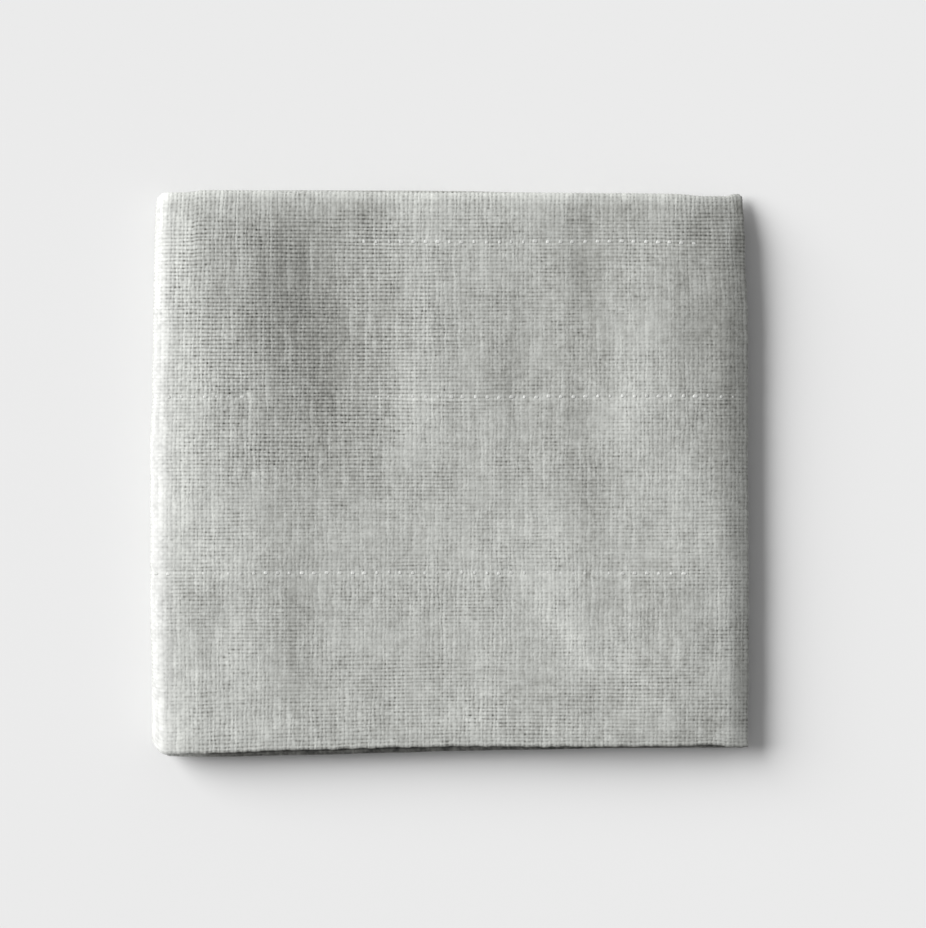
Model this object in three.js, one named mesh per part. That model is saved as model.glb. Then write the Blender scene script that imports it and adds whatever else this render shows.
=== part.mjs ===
// Folded dishcloth: one quilted cloth, folded back and forth in thirds and then once in half.
// Millimetres, +Z up. It lies on its flat underside, with the origin at its bottom centre.
// +X is the side with the open edges, -X the thick half fold, +Y the back and -Y the front.

import * as THREE from 'three';

// The cloth and its layers
const LAYER = 1.15;
const GAP = 0.35;
const LAYERS_IN_HALF = 3;
const PITCH = LAYER + GAP;
const HALF_LAYER = LAYER / 2;
const STACK = LAYERS_IN_HALF * PITCH - GAP;
const MIDDLE_HEIGHT = STACK + GAP / 2;
const HEIGHT = 2 * MIDDLE_HEIGHT;

// The folded outline
const LEFT_X = -73.6;
const RIGHT_X = 73.5;
const LOWER_RIGHT_X = 66.8;
const FRONT_CORNER_RADIUS = 4;
const BACK_CORNER_RADIUS = 1.4;
const CORNER_FULLNESS = 0.8;

// The upper half bends down over the lower half's open edges.
const DROOP_RADIUS = 9;
const DROOP_DEGREES = 36;
const DROOP_ANGLE = THREE.MathUtils.degToRad(DROOP_DEGREES);
const DROOP_X = RIGHT_X - (DROOP_RADIUS + STACK) * Math.sin(DROOP_ANGLE);
const FOLD_X = LEFT_X + MIDDLE_HEIGHT;

// The open side edges are hems that narrow to a rounded rim.
const RIM_THICKNESS = 0.5;
const RIM_REACH = 0.4;
const RIM_PULL_BACK = 0.45;

// Front and back limits of the upper half: its top layer's free edge and the fold under it in
// front, and the fold and the inner layer's free edge behind it.
const LIMITS = [
  { x: -73.6, frontEdge: -68.6, frontFold: -69.2, backFold: 68.6, backEdge: 68.2 },
  { x: -61.3, frontEdge: -68.6, frontFold: -69.8, backFold: 68.9, backEdge: 69.5 },
  { x: -36.7, frontEdge: -68.1, frontFold: -69.6, backFold: 68.9, backEdge: 69.6 },
  { x: -12.2, frontEdge: -67.6, frontFold: -69.0, backFold: 68.8, backEdge: 69.5 },
  { x: 0, frontEdge: -67.3, frontFold: -68.4, backFold: 68.8, backEdge: 69.4 },
  { x: 17.3, frontEdge: -67.3, frontFold: -68.2, backFold: 68.8, backEdge: 69.0 },
  { x: 37.0, frontEdge: -67.3, frontFold: -68.1, backFold: 68.7, backEdge: 68.2 },
  { x: 61.5, frontEdge: -66.8, frontFold: -67.4, backFold: 68.6, backEdge: 68.0 },
  { x: 73.5, frontEdge: -67.2, frontFold: -67.3, backFold: 68.4, backEdge: 67.8 },
];

// How far inside those limits the lower half stays, and the waves of its own edges and folds
const LOWER_HALF = [
  { column: 'frontEdge', inset: 0.9, wave: 0.3, length: 37 },
  { column: 'frontFold', inset: 0.5, wave: 0.25, length: 52 },
  { column: 'backFold', inset: -0.5, wave: 0.2, length: 44 },
  { column: 'backEdge', inset: -0.9, wave: 0.3, length: 33 },
];

// In front, to the right of the middle, the upper half stands a little off the lower half.
const PARTING = { x: 26, y: -69, width: 34, depth: 24, height: 0.45 };

// The left fold and the right edges bow in and out along the depth.
const SIDE_BOWS = [
  { y: -70, left: 0.8, right: -0.4 },
  { y: -51, left: 0.5, right: -0.1 },
  { y: -36, left: 0, right: 0 },
  { y: 8, left: 0, right: 0 },
  { y: 18, left: 0.5, right: 0 },
  { y: 38, left: 1.0, right: 0 },
  { y: 57, left: 1.9, right: -0.7 },
  { y: 70, left: 2.5, right: -1.4 },
];
const BOW_REACH = 34;

// Soft ridges (height above 0) and hollows of the top, each an oval turned from the X axis
const SOFT_FOLDS = [
  { x: -53, y: 30, turn: 86, length: 46, width: 11, height: 0.55 },
  { x: -33, y: 36, turn: 96, length: 30, width: 10, height: -0.6 },
  { x: -8, y: 34, turn: 92, length: 34, width: 8, height: 0.4 },
  { x: 22, y: 44, turn: 80, length: 26, width: 14, height: -0.25 },
  { x: 51, y: 28, turn: 94, length: 34, width: 10, height: 0.5 },
  { x: -46, y: -38, turn: 70, length: 30, width: 14, height: 0.3 },
  { x: 2, y: -16, turn: -42, length: 46, width: 9, height: 0.35 },
  { x: 30, y: -44, turn: -48, length: 32, width: 8, height: -0.3 },
  { x: 56, y: -40, turn: 88, length: 26, width: 10, height: 0.35 },
];

// The quilting rows pinch the cloth into shallow troughs.
const ROWS = [{ y: 56.9 }, { y: 18.6 }, { y: -24.7 }];
const ROW_DEPTH = 0.22;
const ROW_HALF_WIDTH = 2.4;

// The top slumps towards its edges.
const EDGE_SLUMPS = { left: 0.07, right: 0.1, ends: 0.04 };
const SLUMP_REACH = { left: 14, right: 20, ends: 6 };

// How finely the solid is divided
const LEG_X_STEP = 8.5;
const HIDDEN_Y_STEP = 15;
const TOP_Y_STEP = 7.5;
const HIDDEN_Y_REACH = 67;
const TOP_Y_REACH = 64;
const ROW_CLEARANCE = 4;
const FOLD_STEPS = 10;
const DROOP_STEPS = 4;
const BEND_STEPS = 6;
const TIGHT_BEND_STEPS = 2;

const CLOTH_COLOUR = 0xadafaa;

// Value of one column of a table at a place, eased between its rows
function fromTable(table, key, column, place) {
  if (place <= table[0][key]) {
    return table[0][column];
  }
  for (let i = 1; i < table.length; i += 1) {
    const low = table[i - 1];
    const high = table[i];
    if (place <= high[key]) {
      const share = (place - low[key]) / (high[key] - low[key]);
      return low[column] + (high[column] - low[column]) * share * share * (3 - 2 * share);
    }
  }
  return table[table.length - 1][column];
}

// Evenly spaced places between two ends, the ends left out
function between(from, to, step) {
  const count = Math.max(1, Math.round(Math.abs(to - from) / step));
  return Array.from({ length: count - 1 }, (_, i) => from + ((to - from) * (i + 1)) / count);
}

// Height of the soft ridges and hollows at a place on the top
function softFoldHeight(x, y) {
  let height = 0;
  for (const fold of SOFT_FOLDS) {
    const turn = THREE.MathUtils.degToRad(fold.turn);
    const along = (x - fold.x) * Math.cos(turn) + (y - fold.y) * Math.sin(turn);
    const across = (y - fold.y) * Math.cos(turn) - (x - fold.x) * Math.sin(turn);
    height += fold.height * Math.exp(-((along / fold.length) ** 2) * 2 - (across / fold.width) ** 2);
  }
  return height;
}

// Depth of the quilting troughs at a place on the top
function rowDepth(y) {
  const near = Math.min(...ROWS.map((row) => Math.abs(y - row.y)));
  return ROW_DEPTH * Math.max(0, 1 - near / ROW_HALF_WIDTH);
}

// How much lower the heap is near its edges, as a share of its height
function slump(x, y) {
  const { smoothstep } = THREE.MathUtils;
  const left = smoothstep(-x, -LEFT_X - SLUMP_REACH.left, -LEFT_X);
  const right = smoothstep(x, RIGHT_X - SLUMP_REACH.right, RIGHT_X);
  const end = LIMITS[0].backFold;
  const ends = smoothstep(Math.abs(y), end - SLUMP_REACH.ends, end);
  return EDGE_SLUMPS.left * left + EDGE_SLUMPS.right * right + EDGE_SLUMPS.ends * ends;
}

// How far the upper half stands off the lower half at a place
function partingHeight(x, y) {
  const across = (x - PARTING.x) / PARTING.width;
  const along = (y - PARTING.y) / PARTING.depth;
  return PARTING.height * Math.exp(-(across ** 2) - along ** 2);
}

// Middle of a layer above the inner face of its half; layer 0 is the outer one.
function layerMiddle(layer) {
  return (LAYERS_IN_HALF - 1 - layer) * PITCH + HALF_LAYER;
}

// A straight run of one face of a layer, with points at the given places between its ends
function addRun(points, n, from, to, places) {
  const inside = places.filter((y) => (y - from) * (y - to) < 0);
  inside.sort((a, b) => (a - b) * Math.sign(to - from));
  for (const y of [from, ...inside, to]) {
    points.push({ y, n });
  }
}

// A half turn of one face round a bend, its two ends left out. side is +1 at the back and -1 in
// front, and sense is +1 where the turn starts at its lower end.
function addBend(points, y, n, radius, side, sense, steps) {
  for (let i = 1; i < steps; i += 1) {
    const angle = (Math.PI * i) / steps - Math.PI / 2;
    points.push({
      y: y + side * radius * Math.cos(angle),
      n: n + sense * radius * Math.sin(angle),
    });
  }
}

// Places of the points along the depth, the same for all sections
const HIDDEN_PLACES = between(-HIDDEN_Y_REACH, HIDDEN_Y_REACH, HIDDEN_Y_STEP);
const TOP_PLACES = [
  ...ROWS.flatMap((row) => [row.y - ROW_HALF_WIDTH, row.y, row.y + ROW_HALF_WIDTH]),
  ...between(-TOP_Y_REACH, TOP_Y_REACH, TOP_Y_STEP).filter((y) =>
    ROWS.every((row) => Math.abs(y - row.y) > ROW_CLEARANCE),
  ),
];

// Outline of the back-and-forth section of one half, as places along the depth (y) and out from
// its inner face (n). half is half of the cloth's thickness there.
function section(limits, half) {
  const points = [];
  const outer = layerMiddle(0);
  const middle = layerMiddle(1);
  const inner = layerMiddle(2);
  const wide = PITCH / 2 + half;
  const tight = PITCH / 2 - half;
  const backCentre = limits.backFold - PITCH / 2 - HALF_LAYER;
  const frontCentre = limits.frontFold + PITCH / 2 + HALF_LAYER;
  const backBend = (outer + middle) / 2;
  const frontBend = (middle + inner) / 2;
  const frontEnd = limits.frontEdge + RIM_PULL_BACK * half;
  const backEnd = limits.backEdge - RIM_PULL_BACK * half;

  addRun(points, outer + half, frontEnd, backCentre, TOP_PLACES);
  addBend(points, backCentre, backBend, wide, 1, -1, BEND_STEPS);
  addRun(points, middle - half, backCentre, frontCentre, HIDDEN_PLACES);
  addBend(points, frontCentre, frontBend, tight, -1, -1, TIGHT_BEND_STEPS);
  addRun(points, inner + half, frontCentre, backEnd, HIDDEN_PLACES);
  points.push({ y: limits.backEdge, n: inner + half / 2 }, { y: limits.backEdge, n: inner - half / 2 });
  addRun(points, inner - half, backEnd, frontCentre, HIDDEN_PLACES);
  addBend(points, frontCentre, frontBend, wide, -1, 1, BEND_STEPS);
  addRun(points, middle + half, frontCentre, backCentre, HIDDEN_PLACES);
  addBend(points, backCentre, backBend, tight, 1, 1, TIGHT_BEND_STEPS);
  addRun(points, outer - half, backCentre, frontEnd, HIDDEN_PLACES);
  points.push({ y: limits.frontEdge, n: outer - half / 2 }, { y: limits.frontEdge, n: outer + half / 2 });
  return points;
}

// Stations along the way from the lower half's open edges, round the half fold, to the upper
// half's open edges. Each has a point of the inner face (x, z), the direction out through the
// layers (nx, nz), the share of the way from the lower half to the upper one, and half the
// cloth's thickness there.
function stations() {
  const found = [];
  const lower = MIDDLE_HEIGHT - GAP / 2;
  const upper = MIDDLE_HEIGHT + GAP / 2;
  const rim = HALF_LAYER * RIM_THICKNESS;
  const legX = between(LOWER_RIGHT_X, FOLD_X, LEG_X_STEP);

  const addStation = (x, z, nx, nz, share, half = HALF_LAYER) => {
    found.push({ x, z, nx, nz, share, half });
  };

  addStation(LOWER_RIGHT_X, lower, 0, -1, 0, rim);
  for (const x of [LOWER_RIGHT_X - RIM_REACH, ...legX]) {
    addStation(x, lower, 0, -1, 0);
  }
  for (let i = 0; i <= FOLD_STEPS; i += 1) {
    const angle = -Math.PI / 2 - (Math.PI * i) / FOLD_STEPS;
    const nx = Math.cos(angle);
    const nz = Math.sin(angle);
    addStation(FOLD_X + (GAP / 2) * nx, MIDDLE_HEIGHT + (GAP / 2) * nz, nx, nz, (1 + nz) / 2);
  }
  for (const x of [...legX].reverse()) {
    addStation(x, upper, 0, 1, 1);
  }
  for (let i = 0; i <= DROOP_STEPS; i += 1) {
    const angle = (DROOP_ANGLE * i) / DROOP_STEPS;
    const drop = DROOP_RADIUS * (1 - Math.cos(angle));
    addStation(DROOP_X + DROOP_RADIUS * Math.sin(angle), upper - drop, Math.sin(angle), Math.cos(angle), 1);
  }
  const last = found[found.length - 1];
  addStation(last.x + RIM_REACH * last.nz, last.z - RIM_REACH * last.nx, last.nx, last.nz, 1, rim);
  return found;
}

// How far a corner of the left fold is cut back by its rounding at a place across the cloth
function cornerCut(x, radius) {
  const outside = 1 - THREE.MathUtils.clamp((x - LEFT_X) / radius, 0, 1);
  return radius * (1 - Math.sqrt(1 - CORNER_FULLNESS * outside ** 2));
}

// Front and back limits of the section at a station
function limitsAt(station) {
  const x = station.x + STACK * station.nx;
  const limits = {};
  for (const { column, inset, wave, length } of LOWER_HALF) {
    const wavy = inset + wave * Math.sin((2 * Math.PI * x) / length);
    const corner = column.startsWith('front')
      ? cornerCut(x, FRONT_CORNER_RADIUS)
      : -cornerCut(x, BACK_CORNER_RADIUS);
    limits[column] = fromTable(LIMITS, 'x', column, x) + wavy * (1 - station.share) + corner;
  }
  return limits;
}

// The uneven shape of the heap: its sides bow, its top has ridges, hollows, troughs and slumps,
// and its underside stays flat.
function settle(x, y, z, share, onTop) {
  const leftShare = THREE.MathUtils.smoothstep(-x, -LEFT_X - BOW_REACH, -LEFT_X);
  const rightShare = THREE.MathUtils.smoothstep(x, RIGHT_X - BOW_REACH, RIGHT_X);
  const bow =
    leftShare * fromTable(SIDE_BOWS, 'y', 'left', y) + rightShare * fromTable(SIDE_BOWS, 'y', 'right', y);
  const lift = 1 + softFoldHeight(x, y) / HEIGHT - slump(x, y);
  const raise = share * partingHeight(x, y) - (onTop ? rowDepth(y) : 0);
  return [x + bow, y, z * lift + raise];
}

// One closed surface: the section's outline at every station, joined in order and capped
function foldedCloth() {
  const way = stations();
  const rings = way.map((station) => section(limitsAt(station), station.half));
  const around = rings[0].length;
  const topPoints = TOP_PLACES.length + 2;
  const positions = [];
  way.forEach((station, i) => {
    rings[i].forEach(({ y, n }, j) => {
      const onTop = station.share === 1 && j < topPoints;
      const x = station.x + n * station.nx;
      const z = station.z + n * station.nz;
      positions.push(...settle(x, y, z, station.share, onTop));
    });
  });

  const faces = [];
  for (let i = 0; i + 1 < way.length; i += 1) {
    for (let j = 0; j < around; j += 1) {
      const here = i * around + j;
      const beside = i * around + ((j + 1) % around);
      faces.push(here, here + around, beside, beside, here + around, beside + around);
    }
  }
  const contour = rings[0].map(({ y, n }) => new THREE.Vector2(y, n));
  const lastContour = rings[way.length - 1].map(({ y, n }) => new THREE.Vector2(y, n));
  const lastStart = (way.length - 1) * around;
  for (const [a, b, c] of THREE.ShapeUtils.triangulateShape(contour, [])) {
    faces.push(a, c, b);
  }
  for (const [a, b, c] of THREE.ShapeUtils.triangulateShape(lastContour, [])) {
    faces.push(lastStart + a, lastStart + b, lastStart + c);
  }

  const geometry = new THREE.BufferGeometry();
  geometry.setAttribute('position', new THREE.Float32BufferAttribute(positions, 3));
  geometry.setIndex(faces);
  geometry.computeBoundingBox();
  const centre = geometry.boundingBox.getCenter(new THREE.Vector3());
  geometry.translate(-centre.x, -centre.y, 0);
  geometry.computeVertexNormals();
  return geometry;
}

const cloth = new THREE.Mesh(
  foldedCloth(),
  new THREE.MeshStandardMaterial({ color: CLOTH_COLOUR, roughness: 0.95, metalness: 0 }),
);
cloth.name = 'folded_dishcloth';

const dishcloth = new THREE.Group();
dishcloth.add(cloth);

export default dishcloth;
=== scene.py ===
import math

import bpy
import numpy as np
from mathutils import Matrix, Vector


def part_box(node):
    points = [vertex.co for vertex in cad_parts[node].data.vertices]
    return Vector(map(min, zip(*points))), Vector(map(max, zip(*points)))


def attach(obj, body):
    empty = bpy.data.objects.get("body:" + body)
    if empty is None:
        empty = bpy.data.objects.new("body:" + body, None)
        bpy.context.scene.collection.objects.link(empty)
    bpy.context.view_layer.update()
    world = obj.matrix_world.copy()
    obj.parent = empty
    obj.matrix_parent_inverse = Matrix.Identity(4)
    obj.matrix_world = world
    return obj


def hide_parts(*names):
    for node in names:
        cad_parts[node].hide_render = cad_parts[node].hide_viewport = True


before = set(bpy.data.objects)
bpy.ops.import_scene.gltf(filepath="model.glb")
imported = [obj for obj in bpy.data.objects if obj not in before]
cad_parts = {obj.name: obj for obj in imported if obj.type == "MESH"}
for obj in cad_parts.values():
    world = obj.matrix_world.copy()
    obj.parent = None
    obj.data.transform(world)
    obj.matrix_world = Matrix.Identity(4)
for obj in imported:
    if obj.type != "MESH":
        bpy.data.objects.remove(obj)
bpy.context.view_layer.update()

# Folded dishcloth: one quilted gauze cloth, folded back and forth in thirds and then once in half.
# Metres, +Z up. It lies on its underside, with the origin at its bottom centre.
# +X is the side with the open edges, -X the thick half fold, +Y the back and -Y the front.

CLOTH_NODE = "folded_dishcloth"

# The cloth and its layers
LAYER = 0.00115
GAP = 0.00035
LAYERS_IN_HALF = 3
PITCH = LAYER + GAP
HALF_LAYER = LAYER / 2
STACK = LAYERS_IN_HALF * PITCH - GAP
MIDDLE_HEIGHT = STACK + GAP / 2
HEIGHT = 2 * MIDDLE_HEIGHT
OUTER_MIDDLE = 2 * PITCH + HALF_LAYER
MIDDLE_MIDDLE = PITCH + HALF_LAYER
INNER_MIDDLE = HALF_LAYER
BACK_BEND_MIDDLE = (OUTER_MIDDLE + MIDDLE_MIDDLE) / 2
FRONT_BEND_MIDDLE = (MIDDLE_MIDDLE + INNER_MIDDLE) / 2
BEND_RADIUS = PITCH / 2

# The folded outline
LEFT_X = -0.0736
RIGHT_X = 0.0735
LOWER_RIGHT_X = 0.0668
FRONT_CORNER_RADIUS = 0.0040
BACK_CORNER_RADIUS = 0.0013
CORNER_FULLNESS = 0.86
BEND_REACH = PITCH / 2 + HALF_LAYER

# The upper half bends down over the lower half's open edges.
DROOP_RADIUS = 0.009
DROOP_ANGLE = math.radians(36)
DROOP_X = RIGHT_X - (DROOP_RADIUS + STACK) * math.sin(DROOP_ANGLE)
FOLD_X = LEFT_X + MIDDLE_HEIGHT
RIM_REACH = 0.0004

# Lengths along the way from the lower open edge, round the half fold, to the upper open edge
LOWER_LEG = LOWER_RIGHT_X - FOLD_X
FOLD_LENGTH = math.pi * (GAP / 2 + OUTER_MIDDLE)
UPPER_START = LOWER_LEG + FOLD_LENGTH
UPPER_LEG = DROOP_X - FOLD_X
DROOP_START = UPPER_START + UPPER_LEG
DROOP_LENGTH = DROOP_ANGLE * (DROOP_RADIUS + OUTER_MIDDLE)
DROOP_END = DROOP_START + DROOP_LENGTH
WAY_END = DROOP_END + RIM_REACH

# Places where the runs of the back-and-forth section end, before they follow the outline
FRONT_EDGE_Y = -0.0680
BACK_CENTRE_Y = 0.0675
FRONT_CENTRE_Y = -0.0676
BACK_EDGE_Y = 0.0690
BEND_LENGTH = math.pi * BEND_RADIUS
TOP_RUN = BACK_CENTRE_Y - FRONT_EDGE_Y
MIDDLE_RUN = BACK_CENTRE_Y - FRONT_CENTRE_Y
INNER_RUN = BACK_EDGE_Y - FRONT_CENTRE_Y
RUN_END_REACH = 0.025

# The parts of the way and of the section, in order
WAY_SPANS = (LOWER_LEG, FOLD_LENGTH, UPPER_LEG, DROOP_LENGTH + RIM_REACH)
SECTION_SPANS = (TOP_RUN, BEND_LENGTH, MIDDLE_RUN, BEND_LENGTH, INNER_RUN)

# Front and back limits of the upper half along X
LIMIT_COLUMNS = {"front_edge": 1, "front_fold": 2, "back_fold": 3, "back_edge": 4}
LIMITS = [
    (-0.0736, -0.0694, -0.0695, 0.0690, 0.0684),
    (-0.0690, -0.0694, -0.0699, 0.0691, 0.0688),
    (-0.0640, -0.0692, -0.0700, 0.0691, 0.0693),
    (-0.0622, -0.0694, -0.0700, 0.0696, 0.0695),
    (-0.0560, -0.0691, -0.0700, 0.0696, 0.0695),
    (-0.0367, -0.0684, -0.0696, 0.0693, 0.0696),
    (-0.0122, -0.0678, -0.0690, 0.0690, 0.0695),
    (0.0000, -0.0676, -0.0686, 0.0690, 0.0694),
    (0.0173, -0.0676, -0.0683, 0.0690, 0.0690),
    (0.0400, -0.0676, -0.0679, 0.0689, 0.0682),
    (0.0590, -0.0676, -0.0678, 0.0687, 0.0680),
    (0.0735, -0.0678, -0.0678, 0.0688, 0.0678),
]

# The front edge and the back fold are drawn in beside their right corners: four places along X
# where that starts, is full, is still full and ends, how far, and the depth that it fades over.
NOTCH_X = (0.0540, 0.0664, 0.0669, 0.0681)
NOTCH_DEPTH = 0.00050
BACK_NOTCH_X = (0.0560, 0.0640, 0.0696, 0.0711)
BACK_NOTCH_DEPTH = 0.00055
NOTCH_REACH = 0.0042

# How far inside those limits the lower half stays, and the height and length of its own waves
LOWER_HALF = {
    "front_edge": (0.0009, 0.0003, 0.037),
    "front_fold": (0.0005, 0.00025, 0.052),
    "back_fold": (-0.0005, 0.0002, 0.044),
    "back_edge": (-0.0009, 0.0003, 0.033),
}

# The lower half's back corner on the right is drawn in, over these places along X.
LOWER_CORNER_X = (0.030, 0.0668)
LOWER_CORNER_DEPTH = 0.0020

# In front, to the right of the middle, the upper half stands a little off the lower half.
PARTING = {"x": 0.026, "y": -0.069, "width": 0.034, "depth": 0.024, "height": 0.00045}

# The left fold and the right edges bow in and out along the depth: y, left, right.
SIDE_BOWS = [
    (-0.070, 0.0004, 0.0002),
    (-0.051, 0.0004, 0.0002),
    (-0.036, 0.0, 0.0002),
    (0.008, 0.0, 0.0),
    (0.018, 0.0004, 0.0),
    (0.038, 0.0007, 0.0),
    (0.057, 0.0010, -0.0006),
    (0.070, 0.0015, -0.0011),
]
BOW_REACH = 0.034

# Soft ridges (height above 0) and hollows: x, y, turn from the X axis, length, width, height
SOFT_FOLDS = [
    (-0.053, 0.030, 86, 0.046, 0.011, 0.00055),
    (-0.033, 0.036, 96, 0.030, 0.010, -0.0006),
    (-0.008, 0.034, 92, 0.034, 0.008, 0.0004),
    (0.022, 0.044, 80, 0.026, 0.014, -0.00025),
    (0.051, 0.028, 94, 0.034, 0.010, 0.0005),
    (-0.046, -0.038, 70, 0.030, 0.014, 0.0003),
    (0.002, -0.016, -42, 0.046, 0.009, 0.00035),
    (0.030, -0.044, -48, 0.032, 0.008, -0.0003),
    (0.056, -0.040, 88, 0.026, 0.010, 0.00035),
    (0.0735, 0.071, 90, 0.014, 0.013, -0.0036),
]

# The quilting rows, at these places along Y, pinch the cloth into shallow troughs.
ROW_PLACES = [0.0566, 0.0186, -0.0247]
ROW_DEPTH = 0.00010
ROW_HALF_WIDTH = 0.0024
ROW_ROUNDNESS = 1.5
ROW_PINCH = 0.00006
ROW_PINCH_WIDTH = 0.0006

# The rows have sunk into the cloth, apart from these stretches of each along X.
ROWS_SHOWN = [
    [(-0.020, 0.0585)],
    [(-0.080, -0.052), (-0.018, 0.0700)],
    [(-0.080, 0.0580)],
]
SHOWN_FADE = 0.006
ROW_SINK = 0.00025

# The heap slumps towards its edges, as shares of its height.
LEFT_SLUMP = 0.07
RIGHT_SLUMP = 0.1
END_SLUMP = 0.04
LEFT_SLUMP_REACH = 0.014
RIGHT_SLUMP_REACH = 0.020
END_SLUMP_REACH = 0.006

# The grid that the cloth is cut on has two lines to a yarn. These are its lines along the way
# (lower leg, half fold, upper leg, droop) and along the section (top run, bend, middle run, bend,
# inner run).
WAY_LINES = (248, 22, 246, 14)
SECTION_LINES = (292, 8, 290, 8, 294)
LINES_TO_A_YARN = 2

# The rim's rings, as turns from the outer face to the inner one
RIM_TURNS = (0.0, 60.0, 120.0, 180.0)
RIM_STRETCH = 0.7

# The yarns stand up from the gaps between them, by more on the back fold and beside the half fold.
# The lines are counted from the end of the top run and from the start of the half fold.
YARN_RELIEF = 0.00003
RELIEF_START_LINES = 4
BACK_RELIEF = 5.0
BACK_RELIEF_LINES = 6
FOLD_RELIEF = 0.3
FOLD_RELIEF_LINES = (14, 24)

# The yarns wander: how far, and the yarns over which that changes across and along them.
WANDER = 0.00009
WANDER_YARNS = (1.3, 18)
SLOW_WANDER = 0.00022
SLOW_WANDER_YARNS = (7, 34)
WAY_SEEDS = (11, 12)
SECTION_SEEDS = (13, 14)

# The open edges are ragged: how far, its steps to a yarn, the yarns along and the lines it reaches
RAGGED = 0.00016
RAGGED_STEPS = 0.9
RAGGED_YARNS = 30
RAGGED_LINES = 4
RAGGED_WAY_SEED = 15
RAGGED_SECTION_SEED = 16

# Noise in the mesh repeats after this many cells.
NOISE_CELLS = 512


def eased(share):
    """A share from 0 to 1, slow at both ends."""
    return share * share * (3 - 2 * share)


def ramp(place, low, high):
    """0 before low and 1 past high, eased between."""
    return eased(np.clip((place - low) / (high - low), 0, 1))


def from_table(table, column, place):
    """Values of one column at many places, eased between the table's rows. Column 0 is the place."""
    rows = np.array(table)
    low = np.clip(np.searchsorted(rows[:, 0], place, side="right") - 1, 0, len(rows) - 2)
    share = np.clip((place - rows[low, 0]) / (rows[low + 1, 0] - rows[low, 0]), 0, 1)
    return rows[low, column] + (rows[low + 1, column] - rows[low, column]) * eased(share)


def oval(x, y, centre_x, centre_y, turn, length, width):
    """1 at an oval's centre, fading to 0 outside it."""
    cosine = math.cos(math.radians(turn))
    sine = math.sin(math.radians(turn))
    along = ((x - centre_x) * cosine + (y - centre_y) * sine) / length
    across = ((y - centre_y) * cosine - (x - centre_x) * sine) / width
    return np.exp(-2 * along**2 - across**2)


def ovals(table, x, y):
    """Sum of a table of ovals, each with its own amount in the last column."""
    total = np.zeros_like(x)
    for row in table:
        total += row[-1] * oval(x, y, *row[:-1])
    return total


def smooth_noise(across, along, seed):
    """Noise from -1 to 1 that changes smoothly over each unit of its two places."""
    table = np.random.default_rng(seed).uniform(-1, 1, (NOISE_CELLS, NOISE_CELLS))
    left = np.floor(across).astype(int)
    near = np.floor(along).astype(int)
    share_across = eased(across - left)
    share_along = eased(along - near)

    def row(shift):
        """The table's values across, on the line that lies this far ahead."""
        ahead = (near + shift) % NOISE_CELLS
        low = table[left % NOISE_CELLS, ahead]
        high = table[(left + 1) % NOISE_CELLS, ahead]
        return low * (1 - share_across) + high * share_across

    return row(0) * (1 - share_along) + row(1) * share_along


def station_at(length):
    """The inner face (x, z), the way out through the layers (nx, nz) and the share of the way from
    the lower half to the upper one, at lengths along the way."""
    turn = np.clip((length - LOWER_LEG) / FOLD_LENGTH, 0, 1) * math.pi
    droop = np.clip((length - DROOP_START) / DROOP_LENGTH, 0, 1) * DROOP_ANGLE
    lower = np.minimum(length, LOWER_LEG)
    upper = np.clip(length - UPPER_START, 0, UPPER_LEG)
    past = np.maximum(length - DROOP_END, 0)
    fold_x = -np.sin(turn)
    fold_z = -np.cos(turn)
    x = LOWER_RIGHT_X - lower + GAP / 2 * fold_x + upper
    x += DROOP_RADIUS * np.sin(droop) + past * math.cos(DROOP_ANGLE)
    z = MIDDLE_HEIGHT + GAP / 2 * fold_z
    z -= DROOP_RADIUS * (1 - np.cos(droop)) + past * math.sin(DROOP_ANGLE)
    return x, z, fold_x + np.sin(droop), fold_z * np.cos(droop), (1 + fold_z) / 2


def corner_cut(x, radius):
    """How far a corner of the left fold is cut back by its rounding."""
    outside = 1 - np.clip((x - LEFT_X) / radius, 0, 1)
    return radius * (1 - np.sqrt(1 - CORNER_FULLNESS * outside**2))


def limits_at(x, share):
    """Front and back limits of the section where the outer layer is at x."""
    limits = {}
    for name, (inset, wave, length) in LOWER_HALF.items():
        front = name.startswith("front")
        corner = corner_cut(x, FRONT_CORNER_RADIUS) if front else -corner_cut(x, BACK_CORNER_RADIUS)
        own = inset + wave * np.sin(2 * math.pi * x / length)
        if not front:
            own = own - LOWER_CORNER_DEPTH * ramp(x, *LOWER_CORNER_X)
        limits[name] = from_table(LIMITS, LIMIT_COLUMNS[name], x) + own * (1 - share) + corner
    limits["back_centre"] = limits["back_fold"] - BEND_REACH
    limits["front_centre"] = limits["front_fold"] + BEND_REACH
    return limits


def stretched(y, front, front_was, back, back_was):
    """Places along a run whose two ends move, while its middle stays."""
    near_front = 1 - ramp(y, front_was, front_was + RUN_END_REACH)
    near_back = ramp(y, back_was - RUN_END_REACH, back_was)
    return y + (front - front_was) * near_front + (back - back_was) * near_back


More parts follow.
